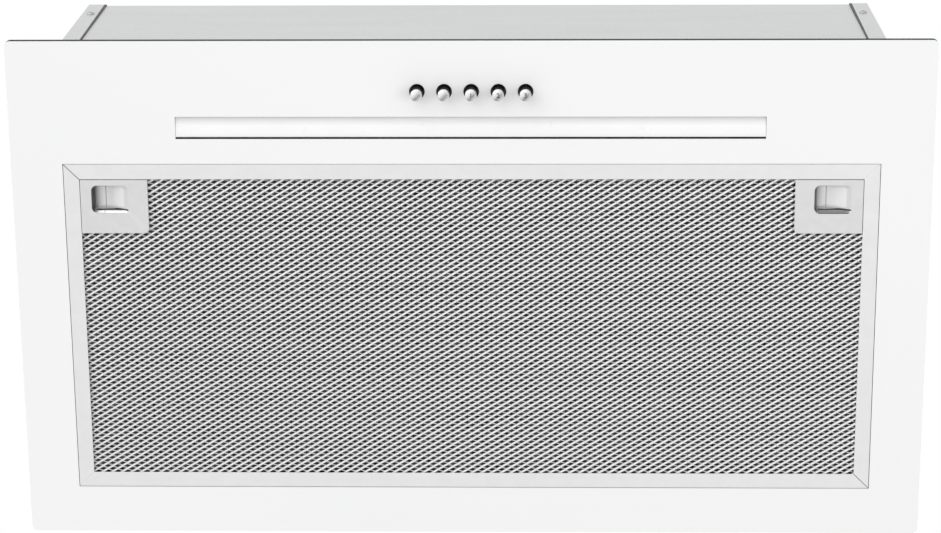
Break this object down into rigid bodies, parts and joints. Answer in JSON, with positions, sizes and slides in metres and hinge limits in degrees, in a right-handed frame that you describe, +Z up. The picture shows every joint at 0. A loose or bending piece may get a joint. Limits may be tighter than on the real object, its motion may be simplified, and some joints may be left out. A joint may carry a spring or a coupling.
{
  "type": "range hood insert",
  "caption": "Range hood insert with a white glass fascia, push buttons, strip light, tilting mesh grease filter and a galvanised box with a blower and a top duct outlet.",
  "frame": {"origin": "middle of the fascia, on its upper face, which closes against the cabinet", "axes": "+X to the right of someone facing the hood, +Z up, so -Y faces that person"},
  "size_m": [0.52, 0.295, 0.2166],
  "materials": {
    "white_glass": "back painted white, polished",
    "white_paint": "white powder coat",
    "galvanised": "galvanised sheet",
    "screw_steel": "zinc plated",
    "shaft_steel": "ground",
    "grey_plastic": "moulded grey",
    "black_plastic": "moulded black",
    "white_plastic": "moulded white",
    "motor_paint": "dark varnish",
    "grommet_rubber": "matt",
    "circuit_board": "solder mask",
    "led_yellow": "phosphor",
    "opal_plastic": "opal diffuser",
    "filter_aluminium": "satin",
    "net_aluminium": "expanded foil",
    "latch_metal": "satin grey",
    "button_chrome": "polished"
  },
  "bodies": {
    "hood": {"base_tray": "white_paint", "button_spring_1": "shaft_steel", "button_spring_2": "shaft_steel", "button_spring_3": "shaft_steel", "button_spring_4": "shaft_steel", "button_spring_5": "shaft_steel", "cable_gland": "black_plastic", "control_box": "black_plastic", "control_box_lid": "black_plastic", "fascia_panel": "white_glass", "filter_seat_front": "white_paint", "filter_seat_rim": "white_paint", "flap_pin": "screw_steel", "gland_nut": "black_plastic", "housing_front_plate": "galvanised", "housing_left_side": "galvanised", "housing_rear_plate": "galvanised", "housing_right_side": "galvanised", "housing_screws": "screw_steel", "housing_top_plate": "galvanised", "led_board": "circuit_board", "led_chips": "led_yellow", "led_driver": "white_plastic", "light_diffuser": "opal_plastic", "light_trough": "filter_aluminium", "motor": "motor_paint", "motor_bracket": "galvanised", "motor_capacitor": "white_plastic", "motor_grommets": "grommet_rubber", "motor_screws": "screw_steel", "outlet_collar": "grey_plastic", "outlet_screws": "screw_steel", "scroll_left_shell": "black_plastic", "scroll_right_shell": "black_plastic", "switch_bank": "black_plastic", "switch_board": "circuit_board", "terminal_block": "white_plastic"},
    "flap_rear": {"flap_rear": "grey_plastic"},
    "flap_front": {"flap_front": "grey_plastic"},
    "blower_rotor": {"motor_shaft": "shaft_steel", "wheel_disc": "galvanised", "wheel_end_rings": "galvanised", "wheel_blades": "galvanised"},
    "filter": {"filter_back_net": "net_aluminium", "filter_frame_front": "filter_aluminium", "filter_frame_left": "filter_aluminium", "filter_frame_rear": "filter_aluminium", "filter_frame_right": "filter_aluminium", "filter_front_net": "net_aluminium", "filter_pad": "net_aluminium", "filter_rear_hooks": "filter_aluminium", "latch_guide_left": "galvanised", "latch_guide_right": "galvanised"},
    "latch_left": {"latch_left": "latch_metal"},
    "latch_right": {"latch_right": "latch_metal"},
    "button_1": {"push_button_1": "button_chrome"},
    "button_2": {"push_button_2": "button_chrome"},
    "button_3": {"push_button_3": "button_chrome"},
    "button_4": {"push_button_4": "button_chrome"},
    "button_5": {"push_button_5": "button_chrome"}
  },
  "joints": [
    {"name": "filter_tilt", "type": "hinge", "parent": "hood", "child": "filter", "pos_m": [0, 0.1193, -0.004], "axis": [1, 0, 0], "range_deg": [0, 70]},
    {"name": "latch_left_slide", "type": "slide", "parent": "filter", "child": "latch_left", "axis": [0, 1, 0], "range_m": [0, 0.004], "stiffness_N_per_m": 400, "springref_m": -0.004},
    {"name": "latch_right_slide", "type": "slide", "parent": "filter", "child": "latch_right", "axis": [0, 1, 0], "range_m": [0, 0.004], "stiffness_N_per_m": 400, "springref_m": -0.004},
    {"name": "flap_rear_swing", "type": "hinge", "parent": "hood", "child": "flap_rear", "pos_m": [0, 0, 0.1715], "axis": [1, 0, 0], "range_deg": [0, 75]},
    {"name": "flap_front_swing", "type": "hinge", "parent": "hood", "child": "flap_front", "pos_m": [0, 0, 0.1715], "axis": [-1, 0, 0], "range_deg": [0, 75]},
    {"name": "blower_spin", "type": "hinge", "parent": "hood", "child": "blower_rotor", "pos_m": [0, -0.031, 0.1002], "axis": [1, 0, 0], "continuous": true},
    {"name": "button_1_push", "type": "slide", "parent": "hood", "child": "button_1", "axis": [0, 0, 1], "range_m": [0, 0.003], "stiffness_N_per_m": 300, "springref_m": -0.002, "deforming": ["button_spring_1"]},
    {"name": "button_2_push", "type": "slide", "parent": "hood", "child": "button_2", "axis": [0, 0, 1], "range_m": [0, 0.003], "stiffness_N_per_m": 300, "springref_m": -0.002, "deforming": ["button_spring_2"]},
    {"name": "button_3_push", "type": "slide", "parent": "hood", "child": "button_3", "axis": [0, 0, 1], "range_m": [0, 0.003], "stiffness_N_per_m": 300, "springref_m": -0.002, "deforming": ["button_spring_3"]},
    {"name": "button_4_push", "type": "slide", "parent": "hood", "child": "button_4", "axis": [0, 0, 1], "range_m": [0, 0.003], "stiffness_N_per_m": 300, "springref_m": -0.002, "deforming": ["button_spring_4"]},
    {"name": "button_5_push", "type": "slide", "parent": "hood", "child": "button_5", "axis": [0, 0, 1], "range_m": [0, 0.003], "stiffness_N_per_m": 300, "springref_m": -0.002, "deforming": ["button_spring_5"]}
  ]
}
